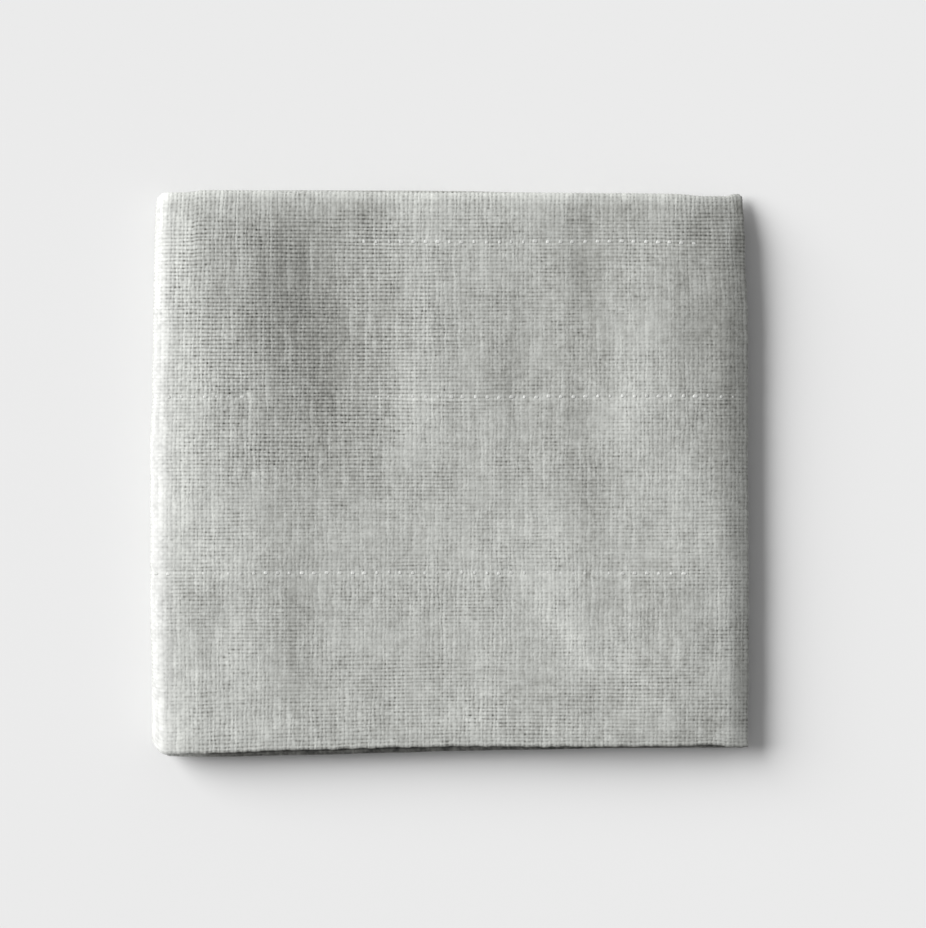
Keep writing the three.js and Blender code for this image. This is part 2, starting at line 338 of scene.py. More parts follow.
def section_at(length, off, limits):
    """Places along the depth (y) and out from the inner face (n) at lengths along the section, off
    by a distance from the layer's middle towards its outer face."""
    ends = np.cumsum(SECTION_SPANS[:-1])
    front_centre = limits["front_centre"]
    back_centre = limits["back_centre"]

    top = FRONT_EDGE_Y + length
    top = stretched(top, limits["front_edge"], FRONT_EDGE_Y, back_centre, BACK_CENTRE_Y)
    middle = BACK_CENTRE_Y - (length - ends[1])
    middle = stretched(middle, front_centre, FRONT_CENTRE_Y, back_centre, BACK_CENTRE_Y)
    inner = FRONT_CENTRE_Y + (length - ends[3])
    inner = stretched(inner, front_centre, FRONT_CENTRE_Y, limits["back_edge"], BACK_EDGE_Y)
    back_turn = (length - ends[0]) / BEND_RADIUS
    front_turn = (length - ends[2]) / BEND_RADIUS
    wide = BEND_RADIUS + off
    tight = BEND_RADIUS - off

    where = [length < end for end in ends]
    back_y = back_centre + wide * np.sin(back_turn)
    back_n = BACK_BEND_MIDDLE + wide * np.cos(back_turn)
    front_y = front_centre - tight * np.sin(front_turn)
    front_n = FRONT_BEND_MIDDLE + tight * np.cos(front_turn)
    y = np.select(where, [top, back_y, middle, front_y], inner)
    n = np.select(where, [OUTER_MIDDLE + off, back_n, MIDDLE_MIDDLE - off, front_n], INNER_MIDDLE + off)
    return y, n


def row_shown(row, x):
    """1 where a quilting row shows and 0 where it has sunk."""
    total = np.zeros_like(x)
    for start, end in ROWS_SHOWN[row]:
        total += ramp(x, start - SHOWN_FADE, start) * (1 - ramp(x, end, end + SHOWN_FADE))
    return total


def row_pinch(length, x):
    """How much the quilting rows draw the top run's faces in."""
    total = np.zeros_like(x)
    for row, place in enumerate(ROW_PLACES):
        near = np.abs(FRONT_EDGE_Y + length - place)
        trough = ROW_DEPTH * np.clip(1 - near / ROW_HALF_WIDTH, 0, 1) ** ROW_ROUNDNESS
        trough = trough + ROW_PINCH * np.exp(-((near / ROW_PINCH_WIDTH) ** 2))
        total = total + trough * row_shown(row, x)
    return total * (length < TOP_RUN)


def back_notch(x, y, share):
    """How far the back fold is drawn in beside its corner."""
    near = ramp(x, *BACK_NOTCH_X[:2]) * (1 - ramp(x, *BACK_NOTCH_X[2:]))
    return BACK_NOTCH_DEPTH * near * ramp(y, BACK_EDGE_Y - NOTCH_REACH, BACK_EDGE_Y) * share


def settle(x, y, z, share):
    """The uneven shape of the heap: bowed sides, soft folds, slumped edges and a flat underside."""
    left = ramp(-x, -LEFT_X - BOW_REACH, -LEFT_X)
    right = ramp(x, RIGHT_X - BOW_REACH, RIGHT_X)
    bow = left * from_table(SIDE_BOWS, 1, y) + right * from_table(SIDE_BOWS, 2, y)
    end = LIMITS[0][LIMIT_COLUMNS["back_fold"]]
    slump = LEFT_SLUMP * ramp(-x, -LEFT_X - LEFT_SLUMP_REACH, -LEFT_X)
    slump += RIGHT_SLUMP * ramp(x, RIGHT_X - RIGHT_SLUMP_REACH, RIGHT_X)
    slump += END_SLUMP * ramp(np.abs(y), end - END_SLUMP_REACH, end)
    apart = PARTING["height"] * np.exp(
        -(((x - PARTING["x"]) / PARTING["width"]) ** 2) - ((y - PARTING["y"]) / PARTING["depth"]) ** 2
    )
    lift = 1 + ovals(SOFT_FOLDS, x, y) / HEIGHT - slump
    return x + bow, y - back_notch(x, y, share), z * lift + share * apart


def edge_notch(x, section, share):
    """How far the front edge is drawn in beside its turned corner."""
    near = ramp(x, *NOTCH_X[:2]) * (1 - ramp(x, *NOTCH_X[2:]))
    return NOTCH_DEPTH * near * (1 - ramp(section, 0.0, NOTCH_REACH)) * share


def folded(way, section, off):
    """Where points of the flat cloth lie once it is folded."""
    x0, z0, nx, nz, share = station_at(way)
    limits = limits_at(x0 + STACK * nx, share)
    section = section + edge_notch(x0 + STACK * nx, section, share)
    off = off - np.sign(off) * row_pinch(section, x0)
    y, n = section_at(section, off, limits)
    return settle(x0 + n * nx, y, z0 + n * nz, share)


def line_places(lengths, counts, rim):
    """Places of the grid's lines over spans of given lengths, starting and ending a rim's width in."""
    ends = np.concatenate([[0.0], np.cumsum(lengths)])
    ends[0] += rim
    ends[-1] -= rim
    spans = [np.linspace(ends[i], ends[i + 1], counts[i] + 1)[1:] for i in range(len(counts))]
    return np.concatenate([[ends[0]], *spans])


RIM_WIDTH = 0.00045
WAY_PLACES = line_places(WAY_SPANS, WAY_LINES, RIM_WIDTH)
SECTION_PLACES = line_places(SECTION_SPANS, SECTION_LINES, RIM_WIDTH)
LAST_WAY = len(WAY_PLACES) - 1
LAST_SECTION = len(SECTION_PLACES) - 1
HALF_FOLD_LINE = WAY_LINES[0]
SECTION_ENDS = [int(end) for end in np.cumsum(SECTION_LINES)]

# How many lines a face spans along the way and along the section, for the lower and then the
# upper half, in each run and bend: fine where the cloth shows, and coarse where it is hidden
OUTER_STEPS = [
    [(8, 8), (4, 2), (16, 16), (16, 4), (16, 16)],
    [(1, 1), (1, 1), (8, 16), (8, 4), (8, 16)],
]
INNER_STEPS = [
    [(16, 16), (16, 4), (16, 16), (4, 2), (16, 16)],
    [(8, 16), (8, 4), (8, 16), (2, 1), (8, 16)],
]


def cells(steps):
    """Rectangles of the grid, as first and last lines along the way and along the section."""
    found = []
    section_starts = [0, *SECTION_ENDS[:-1]]
    for half, (start, end) in enumerate([(0, HALF_FOLD_LINE), (HALF_FOLD_LINE, LAST_WAY)]):
        for run, (first, last) in enumerate(zip(section_starts, SECTION_ENDS)):
            way_step, section_step = steps[half][run]
            for i in range(start, end, way_step):
                for j in range(first, last, section_step):
                    found.append((i, min(i + way_step, end), j, min(j + section_step, last)))
    return found


def corners_of(cell):
    """A cell's four corners, in order."""
    i0, i1, j0, j1 = cell
    return [(i0, j0), (i1, j0), (i1, j1), (i0, j1)]


def outline_of(cell, there):
    """The grid points on a cell's outline that are in use, in order."""
    i0, i1, j0, j1 = cell
    around = [(i, j0) for i in range(i0, i1)]
    around += [(i1, j) for j in range(j0, j1)]
    around += [(i, j1) for i in range(i1, i0, -1)]
    around += [(i0, j) for j in range(j1, j0, -1)]
    return [point for point in around if point in there]


def rim_points(there):
    """Grid points round the cloth's outline in order, each with its way out."""
    loop = outline_of((0, LAST_WAY, 0, LAST_SECTION), there)
    outward = []
    for i, j in loop:
        out_i = (i == LAST_WAY) - (i == 0)
        out_j = (j == LAST_SECTION) - (j == 0)
        size = math.hypot(out_i, out_j)
        outward.append((out_i / size, out_j / size))
    return loop, outward


class FlatCloth:
    """The cut cloth as points (lines along the way and the section, distance off the middle, way
    out at the rim) and faces, each corner of which keeps its place on the weave."""

    def __init__(self):
        self.points = []
        self.faces = []
        self.corners = []
        self.outer_faces = []

    def point(self, i, j, off, out_i=0.0, out_j=0.0, out=0.0):
        """Adds a point, and gives its index."""
        self.points.append((i, j, off, out_i * out, out_j * out))
        return len(self.points) - 1

    def face(self, indices, corners, outer):
        """Adds a face, with the grid place of each corner."""
        self.faces.append(indices)
        self.corners.extend(corners)
        self.outer_faces.append(outer)

    def add_side(self, steps, rim, outer):
        """One of the cloth's two faces, and the indices of its points by place."""
        off = HALF_LAYER if outer else -HALF_LAYER
        pieces = cells(steps)
        there = set(rim)
        for cell in pieces:
            there.update(corners_of(cell))
        index = {place: self.point(*place, off) for place in sorted(there)}
        for cell in pieces:
            around = outline_of(cell, there)
            if not outer:
                around.reverse()
            if len(around) == 4:
                self.face([index[place] for place in around], around, outer)
                continue
            middle = ((cell[0] + cell[1]) / 2, (cell[2] + cell[3]) / 2)
            centre = self.point(*middle, off)
            for k, place in enumerate(around):
                after = around[(k + 1) % len(around)]
                self.face([index[place], index[after], centre], [place, after, middle], outer)
        return index

    def add_rim(self, loop, outward, outer_index, inner_index):
        """The rounded rim that joins the two faces."""
        rings = [[outer_index[place] for place in loop]]
        for turn in RIM_TURNS[1:-1]:
            off = HALF_LAYER * math.cos(math.radians(turn))
            out = RIM_WIDTH * math.sin(math.radians(turn))
            rings.append([self.point(*place, off, *way, out) for place, way in zip(loop, outward)])
        rings.append([inner_index[place] for place in loop])
        for ring in range(len(rings) - 1):
            for k in range(len(loop)):
                after = (k + 1) % len(loop)
                sides = [(k, ring), (k, ring + 1), (after, ring + 1), (after, ring)]
                indices = [rings[level][spot] for spot, level in sides]
                corners = []
                for spot, level in sides:
                    (i, j), (out_i, out_j) = loop[spot], outward[spot]
                    corners.append((i + out_i * level * RIM_STRETCH, j + out_j * level * RIM_STRETCH))
                self.face(indices, corners, True)


def cut_cloth():
    """The flat cloth, with fine faces where it will show."""
    flat = FlatCloth()
    rim = set()
    for steps in (OUTER_STEPS, INNER_STEPS):
        for cell in cells(steps):
            for i, j in corners_of(cell):
                if i in (0, LAST_WAY) or j in (0, LAST_SECTION):
                    rim.add((i, j))
    loop, outward = rim_points(rim)
    outer_index = flat.add_side(OUTER_STEPS, rim, True)
    inner_index = flat.add_side(INNER_STEPS, rim, False)
    flat.add_rim(loop, outward, outer_index, inner_index)
    return flat


def yarn_relief(i, j, off):
    """How far the gaps between the yarns lie under them, on the fine part of the outer face."""
    past_fold = i - HALF_FOLD_LINE
    fine = ramp(past_fold, 0, RELIEF_START_LINES) * (j <= SECTION_ENDS[1]) * (off > 0)
    back = ramp(j, SECTION_ENDS[0] - BACK_RELIEF_LINES, SECTION_ENDS[0])
    fold = 1 - ramp(past_fold, *FOLD_RELIEF_LINES)
    fine = fine * (1 + BACK_RELIEF * back + FOLD_RELIEF * fold)
    yarns = np.abs(np.sin(math.pi * i / LINES_TO_A_YARN))
    yarns = yarns + np.abs(np.sin(math.pi * j / LINES_TO_A_YARN))
    return -YARN_RELIEF * (2 - yarns) * fine


def stray(u, v, fast_seed, slow_seed):
    """How far yarns stray at a place u yarns across them and v yarns along them."""
    fast = WANDER * smooth_noise(u / WANDER_YARNS[0], v / WANDER_YARNS[1], fast_seed)
    slow = SLOW_WANDER * smooth_noise(u / SLOW_WANDER_YARNS[0], v / SLOW_WANDER_YARNS[1], slow_seed)
    return fast + slow


def wander(i, j):
    """How far each yarn strays from its straight line, along the way and along the section."""
    u = i / LINES_TO_A_YARN
    v = j / LINES_TO_A_YARN
    way = stray(u, v, *WAY_SEEDS)
    section = stray(v, u, *SECTION_SEEDS)
    ragged_way = RAGGED * smooth_noise(v * RAGGED_STEPS, u / RAGGED_YARNS, RAGGED_WAY_SEED)
    ragged_way = ragged_way * ramp(i, LAST_WAY - RAGGED_LINES, LAST_WAY)
    ragged_section = smooth_noise(u * RAGGED_STEPS, v / RAGGED_YARNS, RAGGED_SECTION_SEED)
    ragged_section = RAGGED * ragged_section * (1 - ramp(j, 0, RAGGED_LINES))
    return way + ragged_way, section + ragged_section


# Small unevenness of the top: height, the yarns over which it changes, and its seed
UNEVENNESS = [(0.00016, 9.0, 21), (0.00007, 4.0, 22)]


def unevenness(i, j, share):
    """How far the top stands up at places on the grid, by the share of it that is there."""
    u = i / LINES_TO_A_YARN
    v = j / LINES_TO_A_YARN
    total = np.zeros_like(u)
    for height, size, seed in UNEVENNESS:
        total += height * smooth_noise(u / size, v / size, seed)
    return total * share


# Finer creases of the top: x, y, turn from the X axis, length, width, height
CREASES = [
    (0.0300, -0.0395, -48, 0.024, 0.0034, 0.00042),
    (0.0430, -0.0480, -50, 0.012, 0.0030, -0.00020),
    (-0.0090, 0.0220, 90, 0.022, 0.0040, 0.00028),
    (0.0450, 0.0180, 84, 0.020, 0.0045, 0.00030),
    (-0.0330, 0.0200, 78, 0.014, 0.0040, -0.00030),
    (0.0170, 0.0180, 90, 0.014, 0.0030, -0.00022),
    (0.0330, 0.0560, 84, 0.012, 0.0040, -0.00024),
]


def on_cloth(i, j, off, out_way, out_section):
    """Where points of the cut cloth lie once it is folded: on the grid's lines i and j, off from the
    cloth's middle and out by distances along the way and the section."""
    way = np.interp(i, np.arange(LAST_WAY + 1), WAY_PLACES) + out_way
    section = np.interp(j, np.arange(LAST_SECTION + 1), SECTION_PLACES) + out_section
    stray_way, stray_section = wander(i, j)
    x, y, z = folded(way + stray_way, section + stray_section, off)
    upper = ramp(i, HALF_FOLD_LINE, HALF_FOLD_LINE + WAY_LINES[1])
    high = np.clip(z / HEIGHT, 0, 1) ** 2 * upper
    z = z + high * (ovals(CREASES, x, y) + unevenness(i, j, upper))
    return np.stack([x, y, z], axis=-1)


# Where each part of the cloth is baked on the square image: its corner (left, bottom) and its
# scales (across, up), as shares of the image, a scale for each line of the grid
BAKE_MARGIN = 0.006
BAKE_SQUEEZE = 0.85
TOP_CORNER = (0.0, 0.28)
TOP_SCALE = 0.00279
UNDER_CORNER = (0.0, 0.0)
UNDER_SCALE = 0.00104
BEND_CORNER = (0.28, 0.03)
BEND_SCALES = (0.00095, 0.003)
HIDDEN_LEFT = 0.81
HIDDEN_BOTTOMS = (0.0, 0.32, 0.60)
HIDDEN_SCALE = 0.00034


def bake_regions():
    """Rows of (outer face, i0, i1, j0, j1, corner, scales)."""
    _, back_end, front_start, front_end, last = SECTION_ENDS
    top = (TOP_SCALE, TOP_SCALE * BAKE_SQUEEZE)
    under = (UNDER_SCALE, UNDER_SCALE * BAKE_SQUEEZE)
    hidden = (HIDDEN_SCALE, HIDDEN_SCALE * BAKE_SQUEEZE)
    outer_place, middle_place, inner_place = [(HIDDEN_LEFT, bottom) for bottom in HIDDEN_BOTTOMS]
    return [
        (True, HALF_FOLD_LINE, LAST_WAY, 0, back_end, TOP_CORNER, top),
        (True, 0, HALF_FOLD_LINE, 0, back_end, UNDER_CORNER, under),
        (True, 0, LAST_WAY, back_end, last, outer_place, hidden),
        (False, 0, LAST_WAY, 0, front_start, middle_place, hidden),
        (False, 0, LAST_WAY, front_start, front_end, BEND_CORNER, BEND_SCALES),
        (False, 0, LAST_WAY, front_end, last, inner_place, hidden),
    ]


def bake_places(corner_i, corner_j, middle_i, middle_j, outer):
    """Places on the square bake image of every face corner."""
    u = np.zeros_like(corner_i)
    v = np.zeros_like(corner_j)
    for on_outer, i0, i1, j0, j1, (left, bottom), (across, up) in bake_regions():
        inside = (outer == on_outer) & (middle_i >= i0) & (middle_j >= j0)
        inside &= (middle_i <= i1 if i1 == LAST_WAY else middle_i < i1)
        inside &= (middle_j <= j1 if j1 == LAST_SECTION else middle_j < j1)
        u[inside] = left + BAKE_MARGIN + (corner_i[inside] - i0) * across
        v[inside] = bottom + BAKE_MARGIN + (corner_j[inside] - j0) * up
    return u, v


def add_uv(mesh, name, u, v):
    """Adds a UV map with a place for every face corner."""
    layer = mesh.uv_layers.new(name=name)
    layer.data.foreach_set("uv", np.stack([u, v], axis=1).astype(np.float32).ravel())


def add_number(mesh, name, values):
    """Adds a number to every point, for a finish to read."""
    attribute = mesh.attributes.new(name=name, type="FLOAT", domain="POINT")
    attribute.data.foreach_set("value", values.astype(np.float32))


# Painted shade on the top, in hollows, along the drooping right edge and in the turned-down corners,
# and darker tone in more open places: x, y, turn, length, width, amount
PAINTED_SHADE_AND_DARKER_TONE = [
    (-0.0392, 0.0445, 90, 0.030, 0.0100, -0.26),
    (-0.0310, 0.0190, 84, 0.016, 0.0045, -0.16),
    (-0.0195, 0.0641, 0, 0.012, 0.0050, -0.14),
    (-0.0610, 0.0490, 90, 0.018, 0.0090, -0.07),
    (0.0330, 0.0570, 90, 0.024, 0.0060, -0.12),
    (0.0161, 0.0200, 90, 0.020, 0.0040, -0.10),
    (0.0616, 0.0641, 60, 0.010, 0.0055, -0.08),
    (0.0620, 0.0400, 90, 0.050, 0.0080, -0.16),
    (0.0590, -0.0290, 90, 0.020, 0.0090, -0.07),
    (0.0370, -0.0290, 88, 0.030, 0.0045, -0.09),
    (0.0345, -0.0540, 10, 0.016, 0.0050, -0.08),
    (0.0628, -0.0630, 20, 0.010, 0.0040, -0.16),
    (-0.0640, -0.0310, 90, 0.020, 0.0060, -0.08),
    (-0.0368, -0.0410, 90, 0.036, 0.0030, -0.07),
    (-0.0515, -0.0265, 20, 0.014, 0.0060, -0.07),
    (-0.0470, 0.0150, 0, 0.030, 0.0022, -0.08),
    (-0.0250, 0.0300, 90, 0.034, 0.0090, -0.15),
    (0.0335, -0.0050, 90, 0.016, 0.0060, -0.12),
    (0.0720, 0.0380, 90, 0.036, 0.0050, -0.10),
    (0.0303, 0.0275, 90, 0.026, 0.0080, -0.09),
    (0.0335, 0.0440, 90, 0.018, 0.0040, -0.07),
    (-0.0143, 0.0415, 0, 0.008, 0.0040, -0.09),
    (0.0655, 0.0360, 90, 0.006, 0.0040, -0.11),
    (0.0655, 0.0025, 90, 0.014, 0.0040, -0.08),
    (0.0208, -0.0510, 90, 0.010, 0.0040, -0.11),
    (0.0495, -0.0320, 90, 0.018, 0.0050, -0.07),
    (-0.0400, -0.0050, 90, 0.022, 0.0050, -0.08),
    (-0.0687, -0.0500, 90, 0.014, 0.0040, -0.06),
    (0.0303, 0.0155, 0, 0.008, 0.0040, -0.08),
    (0.0431, 0.0650, 0, 0.007, 0.0050, -0.12),
    (-0.0400, -0.0440, 90, 0.022, 0.0040, -0.04),
    (0.0341, -0.0252, 90, 0.0012, 0.0005, -0.50),
    (0.0432, -0.0255, 90, 0.0010, 0.0005, -0.40),
    (0.0232, 0.0571, 110, 0.0008, 0.0004, -0.40),
    (-0.0313, 0.0064, 90, 0.008, 0.0040, -0.10),
    (0.0144, 0.0280, 90, 0.012, 0.0060, -0.08),
    (0.0399, 0.0215, 90, 0.007, 0.0030, -0.08),
    (-0.0370, -0.0315, 0, 0.010, 0.0040, -0.06),
    (-0.0285, 0.0450, 90, 0.014, 0.0050, -0.06),
    (0.0690, 0.0385, 90, 0.010, 0.0050, -0.06),
    (0.0399, 0.0010, 0, 0.006, 0.0040, -0.05),
    (-0.0640, 0.0665, 0, 0.006, 0.0050, -0.22),
    (0.0419, 0.0655, 0, 0.008, 0.0040, -0.11),
    (0.0425, 0.0290, 0, 0.006, 0.0100, -0.05),
    (0.0160, 0.0390, 0, 0.008, 0.0050, -0.06),
    (-0.0310, 0.0030, 0, 0.006, 0.0050, -0.07),
    (0.0335, 0.0620, 0, 0.008, 0.0040, -0.06),
    (0.0338, -0.0100, 90, 0.036, 0.0035, -0.05),
    (-0.0345, -0.0230, 90, 0.020, 0.0050, -0.045),
    (0.0112, 0.0300, 90, 0.012, 0.0050, -0.05),
    (0.0714, 0.0663, 90, 0.0045, 0.0014, -0.30),
    (0.0240, 0.0150, 90, 0.014, 0.0060, -0.055),
    (0.0697, 0.0130, 90, 0.040, 0.0020, -0.13),
    (0.0711, 0.0590, 90, 0.008, 0.0016, -0.16),
    (0.0608, 0.0590, 90, 0.005, 0.0012, -0.14),
    (0.0717, -0.0500, 90, 0.028, 0.0015, -0.06),
]

# Painted light on the top, where soft folds and ridges catch the light, and lighter tone
PAINTED_LIGHT_AND_LIGHTER_TONE = [
    (-0.0090, 0.0229, 90, 0.028, 0.0042, 0.12),
    (-0.0600, -0.0100, 90, 0.028, 0.0120, 0.08),
    (0.0442, 0.0160, 80, 0.030, 0.0065, 0.14),
    (0.0271, -0.0190, 96, 0.028, 0.0060, 0.10),
    (0.0370, -0.0440, -46, 0.030, 0.0045, 0.10),
    (-0.0527, -0.0410, 90, 0.030, 0.0045, 0.07),
    (0.0542, -0.0066, 90, 0.022, 0.0045, 0.08),
    (0.0150, -0.0120, 0, 0.024, 0.0090, 0.05),
    (-0.0060, 0.0610, 0, 0.014, 0.0040, 0.08),
    (-0.0554, -0.0210, 90, 0.012, 0.0060, 0.16),
    (-0.0510, -0.0440, 90, 0.016, 0.0060, 0.12),
    (-0.0048, 0.0100, 90, 0.020, 0.0050, 0.12),
    (0.0625, -0.0120, 90, 0.020, 0.0055, 0.12),
    (0.0660, -0.0290, 90, 0.012, 0.0050, 0.12),
    (-0.0550, -0.0640, 0, 0.030, 0.0040, 0.10),
    (-0.0560, 0.0660, 0, 0.012, 0.0030, 0.12),
    (-0.0502, 0.0253, 0, 0.012, 0.0045, 0.12),
    (-0.0112, 0.0658, 0, 0.008, 0.0040, 0.14),
    (0.0591, 0.0658, 0, 0.006, 0.0040, 0.20),
    (-0.0048, 0.0490, 90, 0.024, 0.0030, 0.08),
    (0.0048, -0.0612, 0, 0.008, 0.0040, 0.10),
    (0.0684, -0.0480, 90, 0.036, 0.0014, 0.24),
    (0.0706, -0.0655, 90, 0.004, 0.0040, 0.16),
    (-0.0660, 0.0500, 90, 0.024, 0.0045, 0.14),
    (-0.0625, 0.0200, 90, 0.034, 0.0050, 0.12),
    (-0.0525, 0.0330, 90, 0.020, 0.0060, 0.10),
    (-0.0048, 0.0334, 0, 0.005, 0.0040, 0.08),
    (0.0080, -0.0410, 90, 0.030, 0.0040, 0.05),
    (0.0335, -0.0510, 0, 0.007, 0.0050, 0.08),
    (-0.0600, -0.0206, 0, 0.009, 0.0040, 0.09),
    (0.0160, -0.0235, 0, 0.008, 0.0040, 0.08),
    (0.0719, -0.0260, 90, 0.008, 0.0020, 0.08),
    (-0.0240, -0.0445, 90, 0.012, 0.0040, 0.06),
    (-0.0220, 0.0172, 0, 0.008, 0.0030, 0.07),
    (-0.0690, 0.0560, 90, 0.016, 0.0030, 0.03),
    (-0.0145, 0.0550, 0, 0.008, 0.0040, 0.07),
    (0.0527, 0.0604, 0, 0.004, 0.0030, 0.08),
    (-0.0060, 0.0430, 90, 0.020, 0.0030, 0.05),
    (-0.0655, 0.0570, 90, 0.014, 0.0060, 0.07),
    (-0.0048, 0.0250, 90, 0.026, 0.0030, 0.045),
    (-0.0545, 0.0080, 90, 0.016, 0.0050, 0.05),
    (0.0591, 0.0190, 90, 0.018, 0.0035, 0.05),
    (-0.0655, -0.0560, 0, 0.010, 0.0050, 0.06),
    (0.0685, 0.0600, 90, 0.006, 0.0008, 0.14),
    (0.0308, -0.0398, -46, 0.016, 0.0035, 0.10),
]

# Where the weave is more open, with larger dark holes (amount over 0), or closed
OPENINGS = [
    (-0.0392, 0.0350, 90, 0.044, 0.0260, 1.00),
    (-0.0600, 0.0400, 90, 0.030, 0.0090, 0.45),
    (-0.0150, 0.0440, 90, 0.030, 0.0100, 0.35),
    (0.0000, 0.0600, 0, 0.120, 0.0060, 0.15),
    (-0.0450, 0.0090, 0, 0.040, 0.0090, 0.35),
    (0.0470, 0.0385, 0, 0.022, 0.0070, -0.45),
    (0.0080, -0.0152, 0, 0.070, 0.0045, -0.35),
    (0.0420, -0.0200, 0, 0.034, 0.0060, -0.35),
    (-0.0340, -0.0105, 0, 0.026, 0.0050, -0.30),
    (-0.0050, 0.0060, 0, 0.014, 0.0050, -0.35),
    (0.0500, -0.0440, 0, 0.030, 0.0100, -0.15),
    (0.0120, -0.0600, 0, 0.070, 0.0050, 0.25),
    (-0.0670, 0.0650, 0, 0.010, 0.0050, 0.80),
    (0.0680, 0.0600, 0, 0.012, 0.0060, 0.60),
]

# Where the upright yarns lead (amount over 0) or the level ones do
LEADS = [
    (-0.0600, 0.0655, 0, 0.036, 0.0045, 1.30),
    (-0.0290, 0.0370, 90, 0.038, 0.0220, -2.40),
    (-0.0640, 0.0350, 0, 0.012, 0.0060, -0.80),
    (0.0480, 0.0580, 0, 0.026, 0.0080, -0.80),
    (0.0540, 0.0330, 90, 0.034, 0.0130, 1.10),
    (0.0120, 0.0110, 0, 0.028, 0.0050, 1.10),
    (0.0540, 0.0060, 0, 0.018, 0.0060, 0.90),
    (-0.0680, -0.0100, 90, 0.010, 0.0060, 1.10),
    (-0.0360, -0.0190, 0, 0.022, 0.0040, 0.90),
    (0.0060, -0.0260, 0, 0.030, 0.0060, 0.90),
    (0.0340, -0.0290, 90, 0.014, 0.0050, 1.50),
    (0.0560, -0.0330, 0, 0.026, 0.0040, 1.20),
    (0.0000, -0.0410, 0, 0.036, 0.0045, 1.10),
    (-0.0620, -0.0490, 0, 0.018, 0.0060, 1.20),
    (-0.0170, -0.0520, 0, 0.030, 0.0050, -0.80),
    (0.0430, -0.0570, 0, 0.026, 0.0045, -0.70),
    (-0.0460, -0.0610, 0, 0.012, 0.0040, 0.90),
    (0.0680, 0.0600, 0, 0.012, 0.0050, -3.20),
]


# The upright yarns lead near the back fold, light is painted on its edge where the light catches the
# fold, and the quilting rows are lighter. The lines are counted from the end of the top run.
BACK_LEAD = 1.8
BACK_LEAD_LINES = (-13, -5)
BACK_PAINTED_LIGHT = 0.24
BACK_PAINTED_LIGHT_LINES = (-5, 1)
ROW_TONE = 0.075
ROW_TONE_WIDTH = 0.0008


def row_tone(section, x):
    """How much lighter the quilting rows are."""
    total = np.zeros_like(x)
    for row, place in enumerate(ROW_PLACES):
        near = np.exp(-(((FRONT_EDGE_Y + section - place) / ROW_TONE_WIDTH) ** 2))
        total = total + ROW_TONE * near * row_shown(row, x)
    return total


# Shade is painted on the open edge in front and on the fold under it, which lie in shade, and it sets
# in along X on the left. The shade reaches a few lines past the fold.
FRONT_PAINTED_SHADE = 0.68
FRONT_PAINTED_SHADE_X = (-0.068, -0.054)
FRONT_PAINTED_SHADE_LINES = 2

# Light is painted where it catches the half fold: from where to where along -X, and up its height
HALF_FOLD_X = (0.0575, 0.0725)
HALF_FOLD_Z = (0.7 * MIDDLE_HEIGHT, 1.3 * MIDDLE_HEIGHT)


def front_painted_shade(i, j, off, x):
    """How much shade is painted on the front edge's rim and the fold under it."""
    rim = (j == 0) * (off < HALF_LAYER)
    bend = (j > SECTION_ENDS[2] - FRONT_PAINTED_SHADE_LINES) * (j < SECTION_ENDS[3] + FRONT_PAINTED_SHADE_LINES)
    return FRONT_PAINTED_SHADE * np.maximum(rim, bend) * ramp(x, *FRONT_PAINTED_SHADE_X)


def add_weave_places(mesh, flat):
    """Gives every face corner its place on the weave, in yarns, and on the bake image."""
    corners = np.array(flat.corners, dtype=float)
    sizes = np.array([len(face) for face in flat.faces])
    face_of = np.repeat(np.arange(len(sizes)), sizes)
    middle = np.stack([np.bincount(face_of, corners[:, axis]) / sizes for axis in (0, 1)], axis=1)
    outer = np.array(flat.outer_faces)[face_of]
    add_uv(mesh, "Weave", corners[:, 0] / LINES_TO_A_YARN, corners[:, 1] / LINES_TO_A_YARN)
    bake = bake_places(corners[:, 0], corners[:, 1], middle[face_of, 0], middle[face_of, 1], outer)
    add_uv(mesh, "OFBake", *bake)


def add_looks(mesh, i, j, off, places):
    """Gives every point how light it is, with the painted light and shade, and how open and led by its
    upright yarns the weave is there.
    """
    x, y, z = places.T
    on_top = ramp(i, HALF_FOLD_LINE, HALF_FOLD_LINE + WAY_LINES[1]) * (j <= SECTION_ENDS[1])
    from_back = j - SECTION_ENDS[0]
    lead = ovals(LEADS, x, y) + BACK_LEAD * ramp(from_back, *BACK_LEAD_LINES)
    # Painted shade and light on the top, and on the back fold's edge, with the rows' lighter tone
    tone_and_painted_light = ovals(PAINTED_SHADE_AND_DARKER_TONE + PAINTED_LIGHT_AND_LIGHTER_TONE, x, y) + BACK_PAINTED_LIGHT * ramp(from_back, *BACK_PAINTED_LIGHT_LINES)
    tone_and_painted_light = tone_and_painted_light + row_tone(np.interp(j, np.arange(LAST_SECTION + 1), SECTION_PLACES), x)
    # The front edge's rim and the fold under it get painted shade.
    add_number(mesh, "tone_and_painted_light", tone_and_painted_light * on_top - front_painted_shade(i, j, off, x))
    add_number(mesh, "openness", ovals(OPENINGS, x, y) * on_top)
    add_number(mesh, "lead", lead * on_top)
    # The half fold gets painted light where the light catches it.
    add_number(mesh, "half_fold_light", ramp(-x, *HALF_FOLD_X) * ramp(z, *HALF_FOLD_Z))


def added(mesh):
    """A new object of a mesh, in the scene."""
    mesh.shade_smooth()
    made = bpy.data.objects.new(mesh.name, mesh)
    bpy.context.scene.collection.objects.link(made)
    return made


